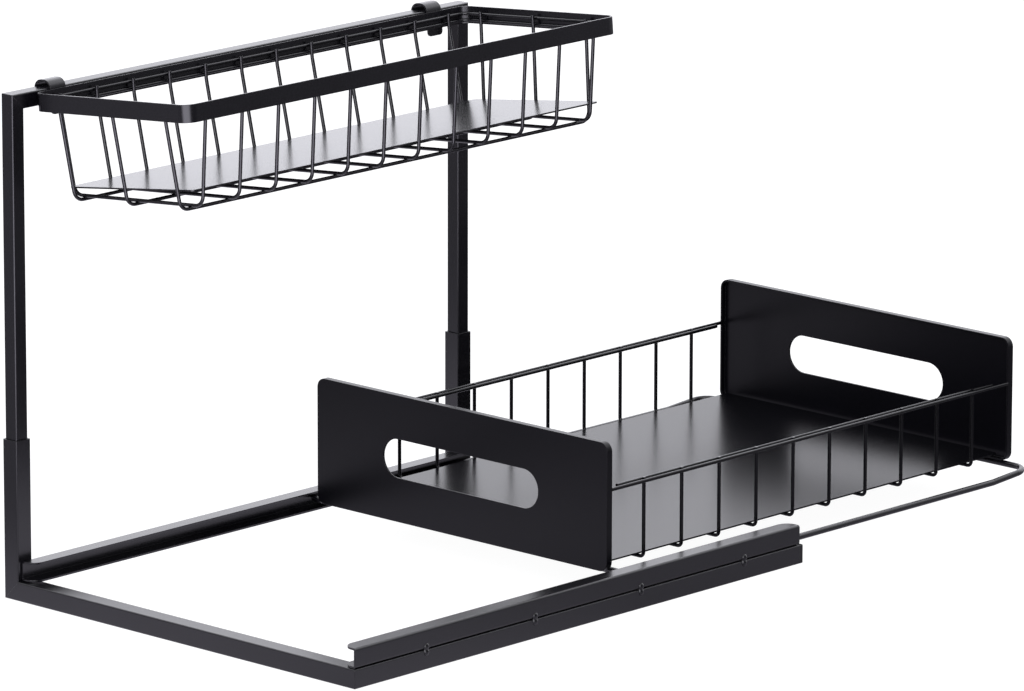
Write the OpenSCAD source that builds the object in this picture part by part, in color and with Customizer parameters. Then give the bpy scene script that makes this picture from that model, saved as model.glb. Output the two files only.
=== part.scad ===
// Two-tier countertop shelf: an L-shaped tube frame with a pull-out drawer below
// and a wire basket that hooks over the frame's top bar.
// +Z is up. The drawer pulls out towards -Y. The two posts stand on the +X side.

/* [Frame] */
// Length of the frame along the drawer's travel, over both posts
frame_len = 400; // [350:1:480]
// Width of the frame, from the posts' outer face to the side tube's
frame_w = 298; // [250:1:340]
// Height of the top bar's upper face
frame_h = 314; // [270:1:400]
// Side of the square base tube and of the post sleeves
tube = 12; // [11.6:0.1:14]
// Wall of the base tube and of the post sleeves
tube_wall = 0.8; // [0.6:0.05:0.85]
// Outer corner radius of every square tube
tube_corner = 0.9; // [0.5:0.1:1.5]
// Height of the two post sleeves
sleeve_h = 100; // [70:1:130]
// Running gap between an upper post and its sleeve, on each side
post_gap = 0.35; // [0.2:0.05:0.5]
// Wall of the upper posts and the top bar
post_wall = 0.8; // [0.6:0.05:1.5]
// How far the side tube stops short of the frame's front
side_tube_short = 3; // [0:0.5:20]
// Thickness of a tube plug's head
plug_head = 3; // [1:0.1:4]
// Depth that a tube plug reaches into its tube
plug_depth = 10; // [5:0.5:20]
// Gap between a plug's shank and the tube's wall
plug_gap = 0.05; // [0.02:0.01:0.2]

/* [Rails] */
// Height of a rail's web
rail_h = 12.3; // [12.2:0.1:16]
// Width of a rail's flanges
rail_w = 11; // [9:0.5:16]
// Sheet thickness of the rails
rail_t = 1.2; // [0.8:0.1:1.5]
// Outer bend radius of the rails
rail_bend = 1.6; // [1.6:0.1:2.5]
// Radius on the flanges' free corners
rail_corner = 8; // [3:0.5:9]
// How much shorter the rails are than the frame
rail_short = 6.5; // [6:0.5:30]
// Distance of the side rail's end from the frame's rear
side_rail_inset = 0.5; // [0:0.5:3]
// Distance of the post rail's end from the frame's rear
post_rail_inset = 3; // [0:0.5:6]
// Seam left under the rails, bridged by the weld beads
rail_seam = 0.5; // [0:0.1:1]
// Number of weld beads along the side rail
bead_count = 4; // [2:1:6]
// Distance of the first bead from the frame's rear
bead_first = 61; // [20:1:90]
// Distance of the last bead from the frame's front
bead_last = 57; // [20:1:90]
// Width of a weld bead
bead_d = 4.6; // [3:0.2:5]
// How far a weld bead stands out
bead_rise = 1.2; // [0.4:0.1:1.4]
// Distance between the two ripples of a weld bead
bead_step = 3.4; // [2.4:0.1:3.6]
// Depth of a weld bead behind the tube's face
bead_root = 0.6; // [0.2:0.1:0.7]

/* [Drawer] */
// Outer length of the drawer over its two panels
drawer_len = 381.6; // [330:0.1:390]
// How far the drawer stands pulled out
drawer_out = 225; // [0:1:240]
// Gap behind the closed drawer
drawer_back_gap = 14.6; // [14:0.1:20]
// Gap between each side of the end panels and the rail's flanges
panel_side_gap = 9; // [5:0.5:30]
// Height of the two end panels
panel_h = 80.8; // [66:0.1:110]
// Height of the panels' lower edge above the runner
panel_rise = 2.6; // [1.5:0.1:3]
// Sheet thickness of the panels
panel_t = 1.2; // [0.8:0.1:2]
// Depth of the flange turned inward round each panel
panel_flange = 4.5; // [4:0.5:9]
// Corner radius of the panels
panel_corner = 6; // [4:0.5:12]
// Length of the hand slot
slot_w = 131.5; // [100:0.5:150]
// Height of the hand slot
slot_h = 24.9; // [20:0.1:30]
// Height of the slot's middle above the panel's lower edge
slot_rise = 40.6; // [34:0.1:46]
// Diameter of the drawer's four rim wires, a pair on each side
rim_wire_d = 2.3; // [2:0.1:3]
// Height of the rim wires above the panels' lower edge
rim_wire_rise = 51.2; // [40:0.1:60]
// Gap between the ends of the inner rim wires and the panels' flanges
rim_wire_gap = 10; // [1:0.5:15]
// Distance of the wall wires' middle from the panels' sides
drawer_leg_inset = 3; // [2.5:0.1:8]
// How far the wall wires' tips stand above the rim wires
drawer_wire_tip = 0.6; // [0:0.1:2]
// Diameter of the wall wires of drawer and basket
wire_d = 2.3; // [2:0.1:3]
// Number of cross wires under the drawer
drawer_wires = 10; // [6:1:10]
// Distance of the outermost cross wires from the panels' outer faces
drawer_wire_inset = 36.3; // [15:0.1:60]
// Middle-line radius of the drawer wires' bends
drawer_bend = 3; // [3:0.5:8]
// Height of the cross wires' middle above the panels' lower edge
drawer_wire_rise = 2.7; // [2.5:0.1:8]
// Thickness of the two floor plates
plate_t = 1; // [0.6:0.1:1.5]
// Gap between the drawer's floor plate and the start of the cross wires' bends
plate_side_gap = 1; // [0:0.1:6]
// Gap between the drawer's floor plate and each panel's flange
plate_end_gap = 0.6; // [0.4:0.1:4]

/* [Runner] */
// Diameter of the runner wire
runner_d = 4; // [3:0.1:4.2]
// Middle-line radius of the runner's corners
runner_corner = 11; // [6:0.5:14]
// Length over which the runner's ends rise to the panels
runner_ramp = 35; // [25:1:60]
// Side gap between the runner and the rails' webs
runner_side_gap = 0.6; // [0.4:0.1:2]
// Running gap between the runner and the rails' lower flanges
runner_gap = 0.3; // [0.1:0.1:1]

/* [Basket] */
// Outer length of the basket's rim
basket_len = 376; // [320:1:385]
// Outer depth of the basket's rim, from its back to its front
basket_w = 133; // [100:0.5:160]
// Depth of the basket, from the rim's top to the cross wires' middle
basket_depth = 64; // [45:0.5:110]
// How far the basket hangs towards the front, from the top bar's middle
basket_shift = 4.3; // [0:0.1:8]
// Angle by which the basket's outer side stands up
basket_tilt = 5; // [0:0.1:8]
// Height of the rim strap
strap_h = 11; // [9:0.5:20]
// Thickness of the rim strap and the hooks
strap_t = 1.2; // [1:0.1:1.5]
// Outer corner radius of the rim strap
strap_corner = 8; // [5:0.5:12]
// Diameter of the two rods inside the rim strap
rod_d = 2; // [1.6:0.1:2.4]
// Distance from the rim's top to the upper rod's middle
rod_drop = 4.6; // [3.6:0.1:5]
// Distance between the two rods inside the rim strap
rod_pitch = 4.2; // [3.2:0.1:5]
// Distance from the rim's top to the ends of the wires
wire_top_drop = 2.6; // [0.5:0.1:3]
// Height of the upright ends of the basket's wires
wire_upright = 9.4; // [8:0.1:14]
// Distance of the wire basket's foot from the rim's long sides
side_foot_inset = 11.7; // [7:0.1:20]
// Distance of the wire basket's foot from the rim's rear end
rear_foot_inset = 11.5; // [7:0.1:20]
// Distance of the wire basket's foot from the rim's front end
front_foot_inset = 6.4; // [6.2:0.1:20]
// Middle-line radius of the basket wires' bends
basket_bend = 7; // [4:0.5:10]
// Number of cross wires in the basket
basket_wires = 12; // [6:1:12]
// Distance of the outermost cross wires from the rim's ends
basket_wire_inset = 18.6; // [14:0.1:40]
// Number of long wires in the basket
basket_long_wires = 3; // [2:1:3]
// Distance of the rearmost long wire from the rim's back
long_back_inset = 18.8; // [15:0.1:40]
// Distance of the foremost long wire from the rim's outer side
long_outer_inset = 23.6; // [15:0.1:40]
// Height of the basket's floor plate above the cross wires' middle
basket_plate_rise = 7.3; // [6:0.1:9]
// Angle by which the floor plate's outer side stands up in the basket
plate_tilt = 2.5; // [0:0.1:3]
// Gap between the basket's floor plate and the wires round it
basket_plate_gap = 0.3; // [0.2:0.1:2]
// Corner radius of the floor plates
plate_corner = 3; // [1:0.5:8]
// Gap left where wires cross or lie against their neighbours
weld_gap = 0.03; // [0.02:0.01:0.1]

/* [Hooks] */
// Width of a hook
hook_w = 12.7; // [8:0.1:20]
// Gap between a hook's front leg and the top bar's side, at the bends' middle
hook_side_gap = 0.35; // [0.32:0.01:0.8]
// Gap between a hook's leg behind the top bar and the bar
hook_back_gap = 1.9; // [0.8:0.1:3]
// Inner radius of a hook's two bends
hook_bend = 4.7; // [4:0.1:4.8]
// Gap between a hook's front bend and the top bar's edge
hook_gap = 0.1; // [0.05:0.01:0.31]
// Height of the rim's top above the middle of the hooks' front bend
hook_drop = 0.3; // [0:0.1:5]
// Length of a hook's leg behind the top bar
hook_back_leg = 8; // [4:0.5:9]
// How far a hook reaches below the rim strap
hook_tab = 4.5; // [0.5:0.5:8]
// Corner radius of a hook's tips
hook_tip_r = 2.5; // [1:0.5:6]
// Distance of the rear hook's middle from the rim's rear end
rear_hook_inset = 21.8; // [15:0.1:60]
// Distance of the front hook's middle from the rim's front end
front_hook_inset = 26.5; // [15:0.1:60]

/* [Hidden] */
// Facets of a full circle
fine = 48;
// Overrun of every cut past the face it opens
cut = 1;
// Overlap of the straight runs of a wire or a hook over the ends of its bends
lap = 0.05;
// How much slimmer the bends are than their wire or strap
bend_slim = 0.02;
// Middle-line radius of the bends below the basket wires' upright ends
upper_bend = 20;

post = tube - 2 * (tube_wall + post_gap);
sleeve_step = (tube - post) / 2;
reach = drawer_back_gap + drawer_out + drawer_len;
y_rear = reach / 2;
y_front = y_rear - frame_len;
hook_over = max(0, post / 2 + hook_back_gap + strap_t - tube / 2);
x_side = -(frame_w + hook_over - bead_rise) / 2;
x_post = x_side + frame_w;
x_bay = (x_post - tube + x_side) / 2;
rail_len = frame_len - rail_short;
bead_pitch = (frame_len - bead_first - bead_last) / (bead_count - 1);
panel_w = frame_w - tube - 2 * (rail_w + panel_side_gap);

rail_z = tube + rail_seam;
runner_z = rail_z + rail_t + runner_gap + runner_d / 2;
runner_x = x_post - tube - rail_t - runner_side_gap - runner_d / 2 - x_bay;
panel_z = runner_z + runner_d / 2 + panel_rise;
drawer_y = y_rear - drawer_back_gap - drawer_out - drawer_len / 2;
front_bar_y = drawer_len / 2 - panel_flange / 2;
rear_bar_y = drawer_len / 2 - panel_flange - weld_gap - runner_d / 2;
front_bar_rise = panel_rise - weld_gap;
rear_bar_rise = panel_rise + runner_d / 2;
drawer_wire_pitch = (drawer_len - 2 * drawer_wire_inset) / (drawer_wires - 1);
drawer_leg_x = panel_w / 2 - drawer_leg_inset;
rim_wire_step = (wire_d + rim_wire_d) / 2 + weld_gap;
drawer_wire_z = panel_z + drawer_wire_rise;
drawer_wire_top = panel_z + rim_wire_rise + rim_wire_d / 2 + drawer_wire_tip;
drawer_plate_z = drawer_wire_z + wire_d / 2 + weld_gap;

rod_inset = strap_t + weld_gap + rod_d / 2;
leg_inset = rod_inset + rod_d / 2 + weld_gap + wire_d / 2;
wire_h = basket_depth - wire_top_drop;
lean_h = wire_h - wire_upright;
side_lean = atan((side_foot_inset - leg_inset) / lean_h);
rear_lean = atan((rear_foot_inset - leg_inset) / lean_h);
front_lean = atan((front_foot_inset - leg_inset) / lean_h);
side_foot = basket_w / 2 - side_foot_inset;
rear_foot = basket_len / 2 - rear_foot_inset;
front_foot = basket_len / 2 - front_foot_inset;
basket_wire_pitch = (basket_len - 2 * basket_wire_inset) / (basket_wires - 1);
basket_long_pitch = (basket_w - long_back_inset - long_outer_inset) / (basket_long_wires - 1);
bend_drop = sqrt(pow(hook_bend - hook_gap, 2) - pow(hook_bend - hook_side_gap, 2));
bend_in = strap_t + hook_bend;
hook_flat = (hook_side_gap + post + hook_back_gap - 2 * hook_bend) / cos(basket_tilt);
bar_x = x_post - sleeve_step - post / 2;
bend_x = bar_x - post / 2 - hook_side_gap + hook_bend;
basket_y = (y_rear + y_front) / 2 - basket_shift;

powder_coat = [0.09, 0.09, 0.1];
coat_light = [0.16, 0.16, 0.17];
plate_grey = [0.3, 0.3, 0.32];
plug_black = [0.04, 0.04, 0.04];

function numbered(name, count) = [for (i = [1:count]) str(name, i)];
cross_names = numbered("basket_cross_wire_", basket_wires);
long_names = numbered("basket_long_wire_", basket_long_wires);
drawer_names = numbered("drawer_cross_wire_", drawer_wires);

// Flat rectangle with rounded corners, its middle at the origin
module rounded_rect(w, h, r) {
  square([w - 2 * r, h], center = true);
  square([w, h - 2 * r], center = true);
  for (x = [-1, 1], y = [-1, 1])
    translate([x * (w / 2 - r), y * (h / 2 - r)]) circle(r, $fn = fine);
}

// Square tube standing on the origin
module square_tube(side, wall, length) {
  linear_extrude(length)
    difference() {
      rounded_rect(side, side, tube_corner);
      square(side - 2 * wall, center = true);
    }
}

// Wedge that lies past a 45 degree mitre through the Y axis, on its +X -Z side
module mitre_wedge(size) {
  rotate([0, 45, 0])
    translate([0, -size, -size])
      cube([2 * size, 2 * size, 2 * size]);
}

// Plug with a head that covers the tube's end at the origin, its shank along +Z
module tube_plug() {
  shank = tube - 2 * (tube_wall + plug_gap);
  translate([0, 0, -plug_head])
    linear_extrude(plug_head) rounded_rect(tube, tube, tube_corner);
  linear_extrude(plug_depth) square(shank, center = true);
}

// Wire bent to a flat U in the XZ plane. Both lists give the +X side first: feet
// is each foot's reach to the sharp corner, leans each leg's angle from upright
module u_wire(feet, rise, leans, upright, bend) {
  ends = [for (i = [0, 1]) feet[i] - bend * tan((90 - leans[i]) / 2)];
  translate([-ends[1] - lap, 0, 0])
    rotate([0, 90, 0])
      cylinder(h = ends[0] + ends[1] + 2 * lap, d = wire_d, $fn = fine);
  for (side = [0, 1])
    mirror([side, 0, 0])
      translate([ends[side], 0, bend])
        rotate([90, 0, 0])
          rotate([0, 0, -90])
            u_leg(rise, leans[side], upright, bend);
}

// Leg of a bent wire: the bend at its foot, the leaning run and, where upright is
// more than nothing, a second bend and an upright end
module u_leg(rise, lean, upright, bend) {
  turn = 90 - lean;
  kink = upright > 0 ? upper_bend * tan(lean / 2) : 0;
  leg = (rise - upright) / cos(lean) - bend * tan(turn / 2) - kink;
  over = upright > 0 ? lap : 0;
  wire_bend(turn, bend, wire_d);
  rotate([0, 0, turn])
    translate([bend, 0, 0]) {
      straight(-lap, leg + over);
      if (upright > 0)
        translate([-upper_bend, leg, 0]) {
          wire_bend(lean, upper_bend, wire_d);
          rotate([0, 0, lean])
            translate([upper_bend, 0, 0]) straight(-lap, upright - kink);
        }
    }
}

// Straight run of wall wire along the Y axis between two places
module straight(from, to) {
  translate([0, from, 0])
    rotate([-90, 0, 0]) cylinder(h = to - from, d = wire_d, $fn = fine);
}

// Bend of a wire from the X axis round the origin, a little slimmer than the
// wire, so that the straight runs close over its ends
module wire_bend(turn, r, d) {
  rotate_extrude(angle = turn, $fn = fine)
    translate([r, 0]) circle(d = d - bend_slim, $fn = fine);
}

// Closed loop of wire in the XY plane: x and y are half the size over the wire's
// middle line, r the middle line's corner radius
module wire_loop(x, y, r, d) {
  for (side = [0, 1]) {
    mirror([side, 0, 0])
      translate([x, y - r + lap, 0])
        rotate([90, 0, 0]) cylinder(h = 2 * (y - r + lap), d = d, $fn = fine);
    mirror([0, side, 0])
      translate([-(x - r + lap), y, 0])
        rotate([0, 90, 0]) cylinder(h = 2 * (x - r + lap), d = d, $fn = fine);
  }
  for (i = [0, 1], j = [0, 1])
    mirror([i, 0, 0])
      mirror([0, j, 0])
        translate([x - r, y - r, 0]) wire_bend(90, r, d);
}

// Places children in the basket's frame: origin at the rim's outer top edge on
// the back, middle of its length, with the basket reaching out along -X
module in_basket() {
  sag = bend_drop - hook_drop;
  back_x = bend_x - bend_in * cos(basket_tilt) + hook_drop * sin(basket_tilt);
  back_z = frame_h - sag + bend_in * sin(basket_tilt);
  drop_z = hook_drop * (1 - cos(basket_tilt));
  translate([back_x, basket_y, back_z - drop_z])
    rotate([0, basket_tilt, 0])
      children();
}

// Places children in the drawer's frame: middle of its length and width
module in_drawer() {
  translate([x_bay, drawer_y, 0]) children();
}

module rear_post_sleeve() {
  color(powder_coat)
    difference() {
      translate([x_post - tube / 2, y_rear - tube / 2, 0])
        square_tube(tube, tube_wall, sleeve_h);
      translate([x_post, y_rear - tube / 2, 0])
        rotate([0, 90, 0])
          mitre_wedge(2 * tube);
    }
}

module front_post_sleeve() {
  color(powder_coat)
    translate([x_post - tube / 2, y_front + tube / 2, plug_head])
      square_tube(tube, tube_wall, sleeve_h - plug_head);
}

module front_post_foot() {
  color(plug_black)
    translate([x_post - tube / 2, y_front + tube / 2, plug_head])
      tube_plug();
}

// The base's end tube, mitred up into the rear sleeve and across to the side tube
module end_tube() {
  color(powder_coat)
    difference() {
      translate([x_side, y_rear - tube / 2, tube / 2])
        rotate([0, 90, 0])
          square_tube(tube, tube_wall, frame_w);
      translate([x_post, y_rear - tube / 2, 0])
        rotate([0, -90, 0])
          mitre_wedge(2 * tube);
      translate([x_side, y_rear, tube / 2])
        rotate([90, 0, 0])
          rotate([0, 180, 0])
            mitre_wedge(2 * tube);
    }
}

module side_tube() {
  length = frame_len - side_tube_short - plug_head;
  color(powder_coat)
    difference() {
      translate([x_side + tube / 2, y_rear, tube / 2])
        rotate([90, 0, 0])
          square_tube(tube, tube_wall, length);
      translate([x_side, y_rear, tube / 2])
        rotate([90, 0, 0])
          mitre_wedge(2 * tube);
    }
}

module side_tube_plug() {
  color(plug_black)
    translate([x_side + tube / 2, y_front + side_tube_short + plug_head, tube / 2])
      rotate([-90, 0, 0])
        tube_plug();
}

// Channel rail along -Y from the origin, its web's outer face at x = 0, open to +X
module rail() {
  inner_r = rail_bend - rail_t;
  intersection() {
    rotate([90, 0, 0])
      linear_extrude(rail_len)
        translate([0, rail_h / 2])
          difference() {
            translate([rail_w, 0]) rounded_rect(2 * rail_w, rail_h, rail_bend);
            translate([rail_w, 0])
              rounded_rect(2 * (rail_w - rail_t), rail_h - 2 * rail_t, inner_r);
            translate([rail_w, -rail_h]) square(2 * rail_h);
          }
    translate([0, -rail_len / 2, 0])
      linear_extrude(rail_h)
        rounded_rect(2 * rail_w, rail_len, rail_corner);
  }
}

module post_rail() {
  color(powder_coat)
    translate([x_post - tube, y_rear - post_rail_inset, rail_z])
      mirror([1, 0, 0]) rail();
}

module side_rail() {
  color(powder_coat)
    translate([x_side, y_rear - side_rail_inset, rail_z]) rail();
}

// Weld beads that fill the seam between the side rail and the side tube: each is
// two ripples, cut to the outlines of the tube and the rail behind them
module side_rail_beads() {
  ball = (pow(bead_d / 2, 2) + pow(bead_rise, 2)) / (2 * bead_rise);
  span = 2 * bead_pitch * bead_count;
  color(powder_coat)
    for (i = [0:bead_count - 1])
      translate([x_side, y_rear - bead_first - i * bead_pitch, 0])
        difference() {
          for (side = [-1, 1])
            translate([ball - bead_rise, 0, tube + (rail_seam + side * bead_step) / 2])
              sphere(ball, $fn = fine);
          translate([bead_root, -2 * ball, -tube]) cube([2 * ball, 4 * ball, 4 * tube]);
          translate([0, span / 2, 0])
            rotate([90, 0, 0])
              linear_extrude(span) {
                translate([tube / 2, tube / 2]) rounded_rect(tube, tube, tube_corner);
                translate([rail_w, rail_z + rail_h / 2])
                  rounded_rect(2 * rail_w, rail_h, rail_bend);
              }
        }
}

// Upper post, standing on the foot's shank, its top mitred for the top bar
module upper_post() {
  z_low = plug_head + plug_depth + runner_gap;
  difference() {
    translate([0, 0, z_low]) square_tube(post, post_wall, frame_h - z_low);
    translate([0, post / 2, frame_h])
      rotate([0, 0, 90])
        rotate([0, 180, 0])
          mitre_wedge(2 * post);
  }
}

module rear_post() {
  color(powder_coat)
    translate([bar_x, y_rear - tube / 2, 0]) upper_post();
}

module front_post() {
  color(powder_coat)
    translate([bar_x, y_front + tube / 2, 0]) mirror([0, 1, 0]) upper_post();
}

module top_bar() {
  length = frame_len - 2 * sleeve_step;
  color(powder_coat)
    translate([bar_x, (y_rear + y_front) / 2, frame_h - post / 2])
      difference() {
        translate([0, length / 2, 0])
          rotate([90, 0, 0]) square_tube(post, post_wall, length);
        for (end = [0, 1])
          mirror([0, end, 0])
            translate([0, length / 2, post / 2])
              rotate([0, 0, 90])
                mitre_wedge(2 * post);
      }
}

module basket_rim() {
  inner_w = basket_w - 2 * strap_t;
  inner_len = basket_len - 2 * strap_t;
  color(coat_light)
    in_basket()
      translate([-basket_w / 2, 0, -strap_h])
        difference() {
          linear_extrude(strap_h) rounded_rect(basket_w, basket_len, strap_corner);
          translate([0, 0, -cut])
            linear_extrude(strap_h + 2 * cut)
              rounded_rect(inner_w, inner_len, strap_corner - strap_t);
        }
}

// Rod bent to a closed loop inside the rim strap, its middle below the rim's top
module rim_rod(drop) {
  color(powder_coat)
    in_basket()
      translate([-basket_w / 2, 0, -drop])
        wire_loop(basket_w / 2 - rod_inset, basket_len / 2 - rod_inset,
                  strap_corner - rod_inset, rod_d);
}

module upper_rim_rod() { rim_rod(rod_drop); }

module lower_rim_rod() { rim_rod(rod_drop + rod_pitch); }

module basket_cross_wire(i) {
  color(powder_coat)
    in_basket()
      translate([-basket_w / 2, ((basket_wires - 1) / 2 - i) * basket_wire_pitch, -basket_depth])
        u_wire([side_foot, side_foot], wire_h, [side_lean, side_lean], wire_upright, basket_bend);
}

// The long wires run under the cross wires and come up inside the rim's ends
module basket_long_wire(i) {
  drop = wire_d + weld_gap;
  leans = [rear_lean, front_lean];
  feet = [rear_foot - drop * tan(rear_lean), front_foot - drop * tan(front_lean)];
  color(powder_coat)
    in_basket()
      translate([-long_back_inset - i * basket_long_pitch, 0, -basket_depth - drop])
        rotate([0, 0, 90])
          u_wire(feet, wire_h + drop, leans, wire_upright, basket_bend);
}

// Flat strip of a hook from z = -length up to a lap past 0, with rounded lower corners
module hook_strip(length) {
  translate([0, -hook_w / 2, -length + hook_tip_r])
    cube([strap_t, hook_w, length - hook_tip_r + lap]);
  translate([0, -hook_w / 2 + hook_tip_r, -length])
    cube([strap_t, hook_w - 2 * hook_tip_r, hook_tip_r]);
  for (side = [-1, 1])
    translate([0, side * (hook_w / 2 - hook_tip_r), -length + hook_tip_r])
      rotate([0, 90, 0]) cylinder(r = hook_tip_r, h = strap_t, $fn = fine);
}

// Bend of a hook's strap about the Y axis, from the +X axis towards +Z, a little
// slimmer than the strap, so that the flat runs close over its ends
module strap_bend(turn) {
  w = hook_w - bend_slim;
  rotate([90, 0, 0])
    translate([0, 0, -w / 2])
      rotate_extrude(angle = turn, $fn = 2 * fine)
        translate([hook_bend + bend_slim / 2, 0]) square([strap_t - bend_slim, w]);
}

// Hook strap over the top bar, welded flat on the back of the rim strap: front leg,
// bend, flat top, bend, and a leg behind the bar. The second bend is shallower by
// the basket's tilt, so that the leg behind the bar hangs upright
module hook(y) {
  front_leg = strap_h - hook_drop + hook_tab;
  color(coat_light)
    in_basket()
      translate([bend_in, y, -hook_drop]) {
        translate([-bend_in, 0, 0]) hook_strip(front_leg);
        rotate([0, -90, 0]) strap_bend(90);
        translate([-lap, -hook_w / 2, hook_bend])
          cube([hook_flat + 2 * lap, hook_w, strap_t]);
        translate([hook_flat, 0, 0])
          rotate([0, -basket_tilt, 0]) {
            strap_bend(90 - basket_tilt);
            translate([hook_bend, 0, 0]) hook_strip(hook_back_leg);
          }
      }
}

module rear_hook() { hook(basket_len / 2 - rear_hook_inset); }

module front_hook() { hook(front_hook_inset - basket_len / 2); }

// Loose plate that lies askew in the bends of the basket's wires
module basket_plate() {
  low = basket_plate_rise - side_foot * sin(plate_tilt);
  w = 2 * (side_foot + plate_lift(side_lean, low));
  rear = rear_foot + plate_lift(rear_lean, low);
  front = front_foot + plate_lift(front_lean, low);
  color(plate_grey)
    in_basket()
      translate([-basket_w / 2, (rear - front) / 2, -basket_depth + basket_plate_rise])
        rotate([0, plate_tilt, 0])
          linear_extrude(plate_t) rounded_rect(w, rear + front, plate_corner);
}

// How far a floor plate at a height can reach past the wires' foot, up to the bend
function plate_lift(lean, height) =
  let (inner = basket_bend - wire_d / 2, low = min(max(basket_bend - height, 0), inner))
  height * tan(lean) - wire_d / 2 - basket_plate_gap - inner + sqrt(pow(inner, 2) - pow(low, 2));

// End panel with its outer face at y = 0, the flange turned to +Y
module panel() {
  translate([0, 0, panel_z + panel_h / 2])
    rotate([90, 0, 0])
      translate([0, 0, -panel_flange]) {
        difference() {
          linear_extrude(panel_flange) rounded_rect(panel_w, panel_h, panel_corner);
          translate([0, 0, -cut])
            linear_extrude(panel_flange - panel_t + cut)
              rounded_rect(panel_w - 2 * panel_t, panel_h - 2 * panel_t, panel_corner - panel_t);
          translate([0, slot_rise - panel_h / 2, -cut])
            linear_extrude(panel_flange + 2 * cut)
              hand_slot();
        }
      }
}

// Outline of the hand slot, with round ends
module hand_slot() {
  square([slot_w - slot_h, slot_h], center = true);
  for (side = [-1, 1])
    translate([side * (slot_w - slot_h) / 2, 0]) circle(d = slot_h, $fn = fine);
}

module front_panel() {
  color(coat_light)
    in_drawer()
      translate([0, -drawer_len / 2, 0]) panel();
}

module rear_panel() {
  color(coat_light)
    in_drawer()
      translate([0, drawer_len / 2, 0]) mirror([0, 1, 0]) panel();
}

// Rim wire along the wall wires, on the side given by its sign: the outer one ends
// at the panels' flanges, the inner one stops short of them
module rim_wire(side, x, gap) {
  length = drawer_len - 2 * (panel_flange + gap);
  color(powder_coat)
    in_drawer()
      translate([side * x, length / 2, panel_z + rim_wire_rise])
        rotate([90, 0, 0]) cylinder(h = length, d = rim_wire_d, $fn = fine);
}

module outer_rim_wire(side) { rim_wire(side, drawer_leg_x + rim_wire_step, weld_gap); }

module inner_rim_wire(side) { rim_wire(side, drawer_leg_x - rim_wire_step, rim_wire_gap); }

module post_side_outer_rim_wire() { outer_rim_wire(1); }

module post_side_inner_rim_wire() { inner_rim_wire(1); }

module tube_side_outer_rim_wire() { outer_rim_wire(-1); }

module tube_side_inner_rim_wire() { inner_rim_wire(-1); }

module drawer_cross_wire(i) {
  y = ((drawer_wires - 1) / 2 - i) * drawer_wire_pitch;
  rise = drawer_wire_top - drawer_wire_z;
  color(powder_coat)
    in_drawer()
      translate([0, y, drawer_wire_z])
        u_wire([drawer_leg_x, drawer_leg_x], rise, [0, 0], 0, drawer_bend);
}

// Loop of wire that rides in the two rails, its crossbars raised to the panels
module runner() {
  rear_run = rear_bar_y - runner_ramp - ramp_tangent(rear_bar_rise) + lap;
  front_run = front_bar_y - runner_ramp - ramp_tangent(front_bar_rise) + lap;
  color(powder_coat)
    in_drawer()
      translate([0, 0, runner_z]) {
        for (side = [-1, 1])
          translate([side * runner_x, rear_run, 0])
            rotate([90, 0, 0]) cylinder(h = rear_run + front_run, d = runner_d, $fn = fine);
        runner_end(rear_bar_y, rear_bar_rise);
        mirror([0, 1, 0]) runner_end(front_bar_y, front_bar_rise);
      }
}

// Rising end of the runner towards +Y: two ramps, the corners and the crossbar
module runner_end(bar_y, rise) {
  slope = atan(rise / runner_ramp);
  length = runner_ramp / cos(slope);
  tangent = ramp_tangent(rise);
  straight_x = runner_x - runner_corner;
  for (side = [0, 1])
    mirror([side, 0, 0])
      translate([runner_x, bar_y - runner_ramp - tangent, runner_corner])
        rotate([0, 0, 90])
          rotate([90, 0, 0])
            rotate([0, 0, -90]) wire_bend(slope, runner_corner, runner_d);
  translate([0, bar_y - runner_ramp, 0])
    rotate([slope, 0, 0]) {
      for (side = [0, 1])
        mirror([side, 0, 0]) {
          translate([runner_x, length - runner_corner + lap, 0])
            rotate([90, 0, 0])
              cylinder(h = length - runner_corner - tangent + 2 * lap, d = runner_d, $fn = fine);
          translate([straight_x, length - runner_corner, 0])
            wire_bend(90, runner_corner, runner_d);
        }
      translate([-straight_x - lap, length, 0])
        rotate([0, 90, 0]) cylinder(h = 2 * (straight_x + lap), d = runner_d, $fn = fine);
    }
}

// Distance from the corner between run and ramp to the ends of the bend there
function ramp_tangent(rise) = runner_corner * tan(atan(rise / runner_ramp) / 2);

// Loose plate on the drawer's cross wires
module drawer_plate() {
  w = 2 * (drawer_leg_x - drawer_bend - plate_side_gap);
  len = drawer_len - 2 * (panel_flange + plate_end_gap);
  color(plate_grey)
    in_drawer()
      translate([0, 0, drawer_plate_z])
        linear_extrude(plate_t) rounded_rect(w, len, plate_corner);
}

rear_post_sleeve();
front_post_sleeve();
front_post_foot();
end_tube();
side_tube();
side_tube_plug();
post_rail();
side_rail();
side_rail_beads();
rear_post();
front_post();
top_bar();
basket_rim();
upper_rim_rod();
lower_rim_rod();
rear_hook();
front_hook();
basket_plate();
front_panel();
rear_panel();
post_side_outer_rim_wire();
post_side_inner_rim_wire();
tube_side_outer_rim_wire();
tube_side_inner_rim_wire();
runner();
drawer_plate();
for (i = [0:basket_wires - 1])
  basket_cross_wire(i);
for (i = [0:basket_long_wires - 1])
  basket_long_wire(i);
for (i = [0:drawer_wires - 1])
  drawer_cross_wire(i);
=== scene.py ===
"""Studio scene of a two-tier countertop rack: a black powder-coated tube frame with a
pull-out wire drawer, and a wire basket that hooks over the frame's top bar."""

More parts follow.
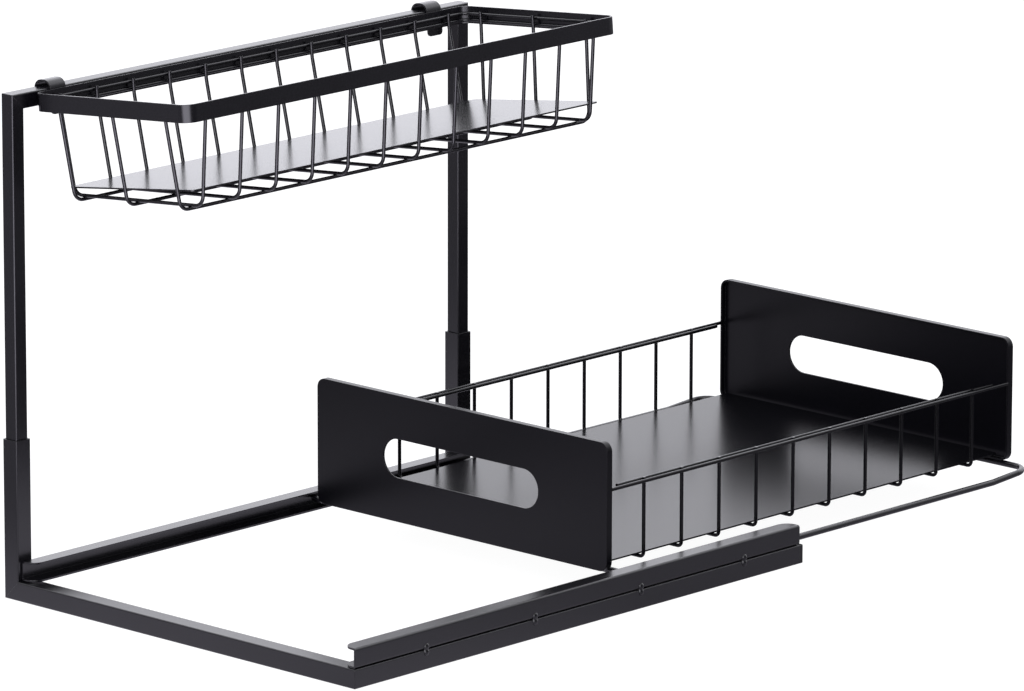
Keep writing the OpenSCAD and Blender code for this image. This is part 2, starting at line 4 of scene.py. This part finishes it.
import bpy
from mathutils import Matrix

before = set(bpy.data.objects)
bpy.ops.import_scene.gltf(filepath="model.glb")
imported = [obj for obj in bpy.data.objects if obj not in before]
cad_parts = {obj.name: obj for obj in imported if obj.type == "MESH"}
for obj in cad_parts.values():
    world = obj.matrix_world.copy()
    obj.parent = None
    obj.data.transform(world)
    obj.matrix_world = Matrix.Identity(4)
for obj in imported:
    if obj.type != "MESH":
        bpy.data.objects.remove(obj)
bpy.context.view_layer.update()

# Ways over the ground, as x and y: towards the lit end of the table, towards the
# softbox on the camera's side, and away from the camera
LEFT = (0.73, 0.684)
SOFTBOX = (-0.53, 0.848)
FAR = (0.684, -0.73)

# Softbox: over which cosines from its middle it fades in, and its brightness
SOFTBOX_SPAN = (0.78, 0.95)
SOFTBOX_LEVELS = (0.0, 4.2)

WHITE = (1.0, 1.0, 1.0, 1.0)

# Powder coat: its three noises, with their scale per metre, the part of a noise's
# range that is used, how far it sways the colour and the roughness, the orange
# peel's depth in metres, and the samples that round an edge
PEEL = {"Scale": 900.0, "Detail": 3.0, "Roughness": 0.55}
SPECK = {"Scale": 2600.0, "Detail": 1.0, "Roughness": 0.5}
CLOUD = {"Scale": 14.0, "Detail": 2.0, "Roughness": 0.5}
NOISE_SPAN = (0.3, 0.7)
TINT_LEVELS = (0.82, 1.18)
GLOSS_SWAY = 0.02
PEEL_DEPTH = 0.00005
EDGE_SAMPLES = 6

# Floor: its size and its drop below the object's feet, in metres
FLOOR_SIZE = 12.0
FLOOR_DROP = 0.0002

# Floor as the camera sees it: a glow, and the small share of it that the object's
# shadow can take away. Light that bounces off it sees a plain pale floor
FLOOR_GLOW = 0.96
FLOOR_SHADED = (0.14, 0.14, 0.14, 1.0)
FLOOR_PLAIN = (0.8, 0.8, 0.8, 1.0)

# Floor as the coat mirrors it: a lit table whose light falls off towards its dark
# end and with the distance in metres, and the softbox's strip beyond it
TABLE_COLOUR = (1.0, 0.96, 1.12, 1.0)
TABLE_SPAN = (-0.7, 0.9)
TABLE_LEVELS = (0.45, 1.0)
FADE_SPAN = (0.28, 0.6)
FADE_LEVELS = (1.0, 0.42)
STRIP_START_SPAN = (0.4, 0.8)

# Room: the bright wall behind the object, lighter above, and the ceiling
ROOM_COLOUR = (0.985, 0.985, 1.05, 1.0)
WALL_SPAN = (-0.2, 0.75)
WALL_LEVELS = (0.12, 1.9)
UPPER_WALL_SPAN = (0.35, 0.6)
UPPER_WALL_LEVELS = (1.0, 1.7)
CEILING_SPAN = (0.5, 0.85)
CEILING_LEVEL = 1.5

OFF_TO_ON = (0.0, 1.0)

# Camera fitted to the photograph: lens and sensor in millimetres, place and clipping
# distances in metres, turn in radians
LENS = 297.3968
SENSOR = 36.0
CAMERA_PLACE = (-3.484797, 3.724693, 1.353759)
CAMERA_TURN = (1.335095, -0.0017085, -2.3866676)
CLIP_START = 0.1
CLIP_END = 60.0


def add(tree, kind, **values):
    """A node with the given properties and input values."""
    n = tree.nodes.new(kind)
    for key, value in values.items():
        if hasattr(n, key):
            setattr(n, key, value)
        else:
            n.inputs[key.replace("_", " ")].default_value = value
    return n


def node_tree(name):
    """A new material and its cleared node tree."""
    mat = bpy.data.materials.new(name)
    mat.use_nodes = True
    mat.node_tree.nodes.clear()
    return mat, mat.node_tree


def map_range(tree, value, span, levels, blend="LINEAR"):
    """A value that runs over a span, mapped to run between two levels."""
    n = add(tree, "ShaderNodeMapRange", interpolation_type=blend)
    for key, v in zip(("From Min", "From Max", "To Min", "To Max"), (*span, *levels)):
        n.inputs[key].default_value = v
    tree.links.new(value, n.inputs["Value"])
    return n.outputs["Result"]


def ramp(tree, value, span, levels):
    """Smooth step of a value over a span, between two levels."""
    return map_range(tree, value, span, levels, "SMOOTHSTEP")


def heading(tree, vector, towards):
    """Cosine between a direction or place, flattened to the ground, and a way over it."""
    flat = add(tree, "ShaderNodeVectorMath", operation="MULTIPLY")
    flat.inputs[1].default_value = (1.0, 1.0, 0.0)
    unit = add(tree, "ShaderNodeVectorMath", operation="NORMALIZE")
    dot = add(tree, "ShaderNodeVectorMath", operation="DOT_PRODUCT")
    dot.inputs[1].default_value = (*towards, 0.0)
    tree.links.new(vector, flat.inputs[0])
    tree.links.new(flat.outputs["Vector"], unit.inputs[0])
    tree.links.new(unit.outputs["Vector"], dot.inputs[0])
    return dot.outputs["Value"]


def math_node(tree, operation, first, second):
    """Math node over two sockets."""
    n = add(tree, "ShaderNodeMath", operation=operation)
    tree.links.new(first, n.inputs[0])
    tree.links.new(second, n.inputs[1])
    return n.outputs["Value"]


def choose(tree, ray, otherwise, shader):
    """One shader for the named kind of ray and another for all the rest."""
    path = add(tree, "ShaderNodeLightPath")
    mix = add(tree, "ShaderNodeMixShader")
    tree.links.new(path.outputs[ray], mix.inputs[0])
    tree.links.new(otherwise, mix.inputs[1])
    tree.links.new(shader, mix.inputs[2])
    return mix.outputs[0]


def softbox(tree, vector):
    """Brightness of the softbox along a direction, or at a place on the floor."""
    return ramp(tree, heading(tree, vector, SOFTBOX), SOFTBOX_SPAN, SOFTBOX_LEVELS)


def noise(tree, values):
    """Noise over a piece's own coordinates."""
    n = add(tree, "ShaderNodeTexNoise", **values)
    place = add(tree, "ShaderNodeTexCoord")
    tree.links.new(place.outputs["Object"], n.inputs["Vector"])
    return n.outputs["Fac"]


def powder_coat(name, colour, rough, orange_peel, ior, edge):
    """Black powder coat: cloudy tint, fine speckle, orange peel, and edges that the
    coat's thickness rounds by the given radius."""
    mat, tree = node_tree(name)
    link = tree.links.new
    shade = add(tree, "ShaderNodeVectorMath", operation="SCALE")
    shade.inputs[0].default_value = colour
    tint = map_range(tree, noise(tree, CLOUD), NOISE_SPAN, TINT_LEVELS)
    link(tint, shade.inputs["Scale"])
    sway = (rough - GLOSS_SWAY, rough + GLOSS_SWAY)
    gloss = map_range(tree, noise(tree, SPECK), NOISE_SPAN, sway)
    soft = add(tree, "ShaderNodeBevel", samples=EDGE_SAMPLES)
    soft.inputs["Radius"].default_value = edge
    bump = add(tree, "ShaderNodeBump")
    bump.inputs["Strength"].default_value = orange_peel
    bump.inputs["Distance"].default_value = PEEL_DEPTH
    link(noise(tree, PEEL), bump.inputs["Height"])
    link(soft.outputs["Normal"], bump.inputs["Normal"])
    skin = add(tree, "ShaderNodeBsdfPrincipled", IOR=ior)
    link(shade.outputs["Vector"], skin.inputs["Base Color"])
    link(gloss, skin.inputs["Roughness"])
    link(bump.outputs["Normal"], skin.inputs["Normal"])
    out = add(tree, "ShaderNodeOutputMaterial")
    link(skin.outputs["BSDF"], out.inputs["Surface"])
    return mat


def make_coats():
    """Materials by a short name: the upper frame and basket, the base, the end panels, the two
    floor plates, the drawer's thin wires and the plastic plugs. The panels, the drawer's plate
    and the drawer's wires get darker, less reflective copies of the black coat as painted
    shade, and the basket's plate a lighter, more reflective copy as a painted sheen."""
    return {
        "frame": powder_coat(
            "powder_coat_black", (0.0024, 0.0022, 0.0034),
            rough=0.24, orange_peel=0.1, ior=1.5, edge=0.0004),
        "base": powder_coat(
            "base_coat_black", (0.0034, 0.0032, 0.0044),
            rough=0.32, orange_peel=0.15, ior=1.5, edge=0.0004),
        # End panels: a darker, less reflective copy of the black coat, as painted shade
        "panel": powder_coat(
            "panel_coat_black_painted_shade", (0.0012, 0.0011, 0.002),
            rough=0.3, orange_peel=0.12, ior=1.28, edge=0.0007),
        # Drawer's plate: a darker, less reflective copy of the black coat, as painted shade
        "drawer_plate": powder_coat(
            "drawer_plate_coat_painted_shade", (0.002, 0.002, 0.0028),
            rough=0.24, orange_peel=0.05, ior=1.24, edge=0.0003),
        # Basket's plate: a lighter, more reflective copy of the black coat, as a painted sheen
        "basket_plate": powder_coat(
            "basket_plate_coat_painted_sheen", (0.003, 0.003, 0.0038),
            rough=0.24, orange_peel=0.05, ior=1.6, edge=0.0003),
        # Drawer's wires and rim wires: a darker, less reflective copy of the black coat, as
        # painted shade
        "drawer_wire": powder_coat(
            "drawer_wire_coat_painted_shade", (0.001, 0.001, 0.0015),
            rough=0.22, orange_peel=0.1, ior=1.3, edge=0.0002),
        "plug": powder_coat(
            "plug_plastic", (0.005, 0.005, 0.005),
            rough=0.45, orange_peel=0.3, ior=1.45, edge=0.0005),
    }


def coat_of(name):
    """Short name of the coat that a CAD node wears."""
    if name in ("basket_plate", "drawer_plate"):
        return name
    if name in ("front_panel", "rear_panel"):
        return "panel"
    # The drawer's wires get the darker copy of the coat that paints their shade
    if name.startswith("drawer_cross_wire") or name.endswith("rim_wire"):
        return "drawer_wire"
    if name in ("front_post_foot", "side_tube_plug"):
        return "plug"
    if name in ("end_tube", "side_tube", "side_rail"):
        return "base"
    return "frame"


def dress(obj, mat):
    """Put one material in every slot of a piece."""
    if not obj.material_slots:
        obj.data.materials.append(mat)
    for slot in obj.material_slots:
        slot.material = mat


def floor_material():
    """White sweep with the object's faint shadow, which the coat mirrors as a lit table."""
    mat, tree = node_tree("pale_floor")
    link = tree.links.new
    shade = add(tree, "ShaderNodeBsdfDiffuse", Color=FLOOR_SHADED)
    glow = add(tree, "ShaderNodeEmission", Color=WHITE, Strength=FLOOR_GLOW)
    seen = add(tree, "ShaderNodeAddShader")
    link(shade.outputs[0], seen.inputs[0])
    link(glow.outputs[0], seen.inputs[1])
    plain = add(tree, "ShaderNodeBsdfDiffuse", Color=FLOOR_PLAIN)
    ground = add(tree, "ShaderNodeTexCoord").outputs["Object"]
    length = add(tree, "ShaderNodeVectorMath", operation="LENGTH")
    link(ground, length.inputs[0])
    distance = length.outputs["Value"]
    side = ramp(tree, heading(tree, ground, LEFT), TABLE_SPAN, TABLE_LEVELS)
    fade = ramp(tree, distance, FADE_SPAN, FADE_LEVELS)
    beyond = ramp(tree, distance, STRIP_START_SPAN, OFF_TO_ON)
    strip = math_node(tree, "MULTIPLY", softbox(tree, ground), beyond)
    table = math_node(tree, "ADD", math_node(tree, "MULTIPLY", side, fade), strip)
    mirrored = add(tree, "ShaderNodeEmission", Color=TABLE_COLOUR)
    link(table, mirrored.inputs["Strength"])
    unseen = choose(tree, "Is Glossy Ray", plain.outputs[0], mirrored.outputs[0])
    out = add(tree, "ShaderNodeOutputMaterial")
    link(choose(tree, "Is Camera Ray", unseen, seen.outputs[0]), out.inputs["Surface"])
    return mat


def add_floor():
    """Floor just below the object's feet."""
    bpy.ops.mesh.primitive_plane_add(size=FLOOR_SIZE, location=(0, 0, -FLOOR_DROP))
    floor = bpy.context.object
    floor.name = "floor"
    floor.data.materials.append(floor_material())


def add_world():
    """Pale studio: white to the camera, bright behind the object and overhead, with a
    softbox beside the camera and a dim room behind it."""
    world = bpy.data.worlds.new("studio")
    bpy.context.scene.world = world
    world.use_nodes = True
    tree = world.node_tree
    tree.nodes.clear()
    link = tree.links.new
    where = add(tree, "ShaderNodeTexCoord").outputs["Generated"]
    split = add(tree, "ShaderNodeSeparateXYZ")
    link(where, split.inputs[0])
    rise = split.outputs["Z"]
    wall = ramp(tree, heading(tree, where, FAR), WALL_SPAN, WALL_LEVELS)
    upper = ramp(tree, rise, UPPER_WALL_SPAN, UPPER_WALL_LEVELS)
    wall = math_node(tree, "MULTIPLY", wall, upper)
    around = math_node(tree, "ADD", wall, softbox(tree, where))
    mix = add(tree, "ShaderNodeMix", data_type="FLOAT")
    link(ramp(tree, rise, CEILING_SPAN, OFF_TO_ON), mix.inputs[0])
    link(around, mix.inputs[2])
    mix.inputs[3].default_value = CEILING_LEVEL
    room = add(tree, "ShaderNodeBackground", Color=ROOM_COLOUR)
    link(mix.outputs[0], room.inputs["Strength"])
    seen = add(tree, "ShaderNodeBackground", Color=WHITE, Strength=1.0)
    out = add(tree, "ShaderNodeOutputWorld")
    link(choose(tree, "Is Camera Ray", room.outputs[0], seen.outputs[0]), out.inputs["Surface"])


def add_camera():
    """Camera of the photograph."""
    cam = bpy.data.cameras.new("camera")
    cam.lens = LENS
    cam.sensor_width = SENSOR
    cam.clip_start = CLIP_START
    cam.clip_end = CLIP_END
    eye = bpy.data.objects.new("camera", cam)
    bpy.context.scene.collection.objects.link(eye)
    eye.location = CAMERA_PLACE
    eye.rotation_euler = CAMERA_TURN
    bpy.context.scene.camera = eye


coats = make_coats()
for name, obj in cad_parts.items():
    dress(obj, coats[coat_of(name)])
add_floor()
add_world()
add_camera()
bpy.context.scene.view_settings.view_transform = "Standard"
